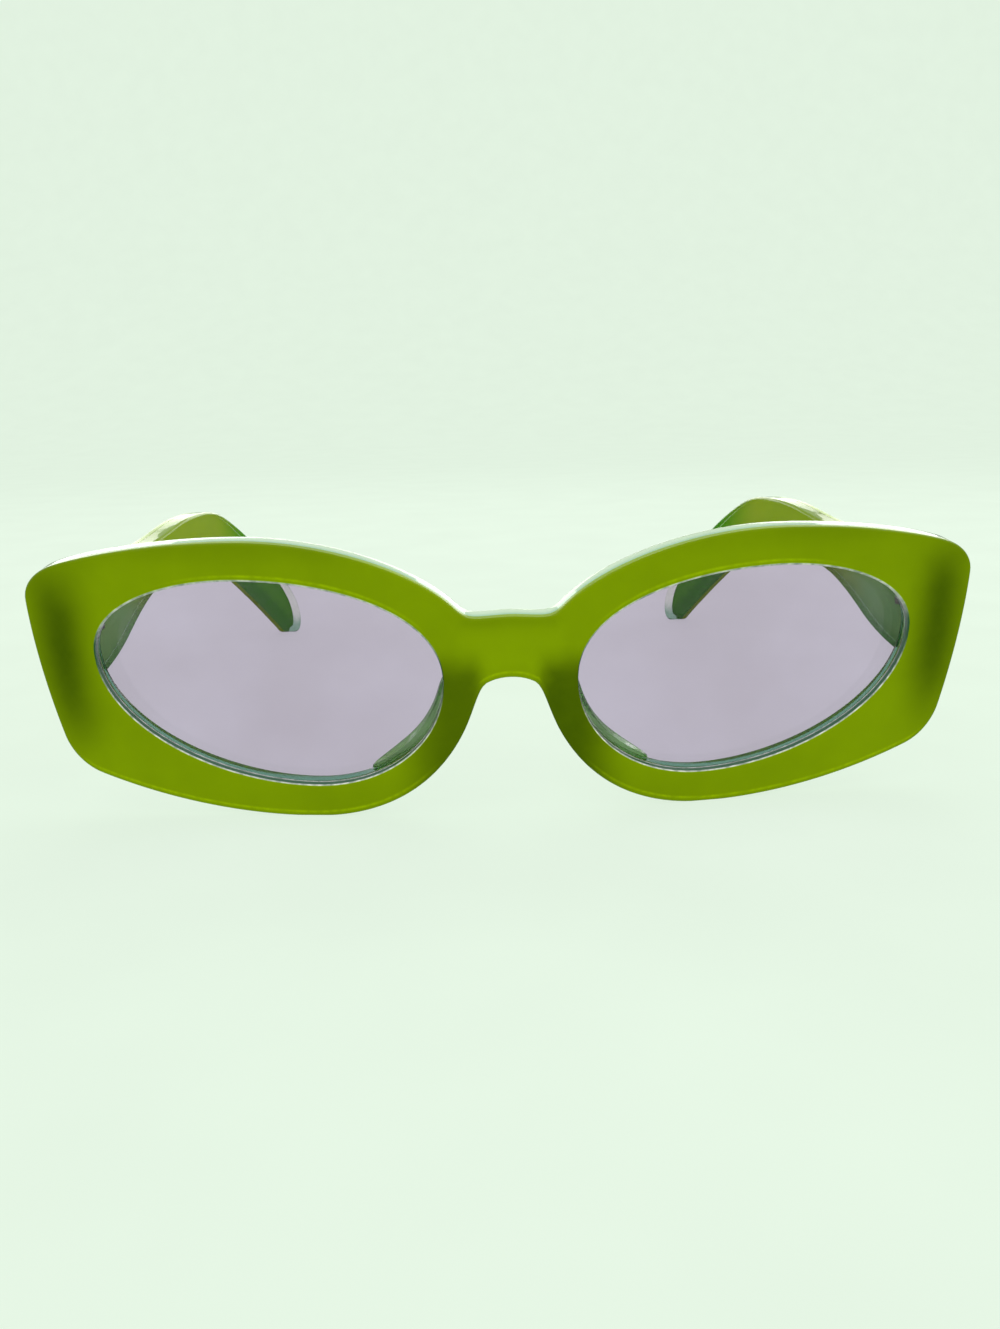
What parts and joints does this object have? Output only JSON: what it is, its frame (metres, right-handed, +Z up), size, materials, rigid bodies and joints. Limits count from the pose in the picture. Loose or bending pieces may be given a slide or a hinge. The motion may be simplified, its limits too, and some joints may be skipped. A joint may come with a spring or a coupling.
{
  "type": "cat eye sunglasses",
  "caption": "Cat eye sunglasses with a laminated green and clear acetate frame, pale tinted lenses and folding temples on barrel hinges.",
  "frame": {"origin": "on the table, under the middle of the object's box, with the temples open", "axes": "+Z up, the front faces -Y, the temples run to +Y, and the wearer's left is +X"},
  "size_m": [0.145, 0.1464, 0.0437],
  "materials": {
    "green_acetate": "polished, slightly translucent lime green",
    "clear_acetate": "polished clear crystal",
    "clear_pad": "polished clear crystal",
    "tinted_lens": "polished pale lavender-grey tint",
    "hinge_nickel": "nickel plated, satin",
    "screw_steel": "bright machined steel"
  },
  "bodies": {
    "front": {"front_face": "green_acetate", "front_backing": "clear_acetate", "lens_left": "tinted_lens", "lens_right": "tinted_lens", "nose_pad_left": "clear_pad", "nose_pad_right": "clear_pad", "hinge_front_leaf_left": "hinge_nickel", "hinge_front_leaf_right": "hinge_nickel", "hinge_screw_left": "screw_steel", "hinge_screw_right": "screw_steel", "front_leaf_screws_left": "screw_steel", "front_leaf_screws_right": "screw_steel"},
    "left_temple": {"temple_outer_left": "green_acetate", "temple_inner_left": "clear_acetate", "hinge_temple_leaf_left": "hinge_nickel", "temple_leaf_screws_left": "screw_steel"},
    "right_temple": {"temple_outer_right": "green_acetate", "temple_inner_right": "clear_acetate", "hinge_temple_leaf_right": "hinge_nickel", "temple_leaf_screws_right": "screw_steel"}
  },
  "joints": [
    {"name": "left_temple_fold", "type": "hinge", "parent": "front", "child": "left_temple", "pos_m": [0.06365, -0.05893, 0.033], "axis": [0, 0, 1], "range_deg": [0, 84.5]},
    {"name": "right_temple_fold", "type": "hinge", "parent": "front", "child": "right_temple", "pos_m": [-0.06365, -0.05893, 0.033], "axis": [0, 0, -1], "range_deg": [0, 45]}
  ]
}
